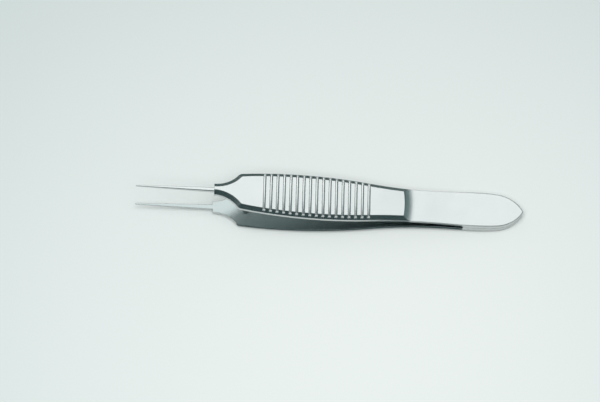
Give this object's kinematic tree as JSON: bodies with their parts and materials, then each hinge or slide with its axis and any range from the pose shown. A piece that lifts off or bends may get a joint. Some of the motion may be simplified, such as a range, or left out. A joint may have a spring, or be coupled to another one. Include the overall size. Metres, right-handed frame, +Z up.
{
  "type": "thumb forceps",
  "caption": "Sprung steel tweezers with a flat pointed tail, long ribbed and bevelled finger grips, a round stepped nose and straight needle-fine tips.",
  "frame": {"origin": "bottom centre of the bounding box, on the surface that the forceps lies on", "axes": "+X from the tips to the tail, +Y across the blades, +Z up; the lower blade lies on the tail's end and on its foremost rib, so the tips are raised"},
  "size_m": [0.1002, 0.0122, 0.013],
  "materials": {
    "blade_steel": "satin",
    "pin_steel": "satin"
  },
  "bodies": {
    "root": {"upper_blade": "blade_steel", "lower_blade": "blade_steel", "stop_pin": "pin_steel"}
  },
  "joints": []
}
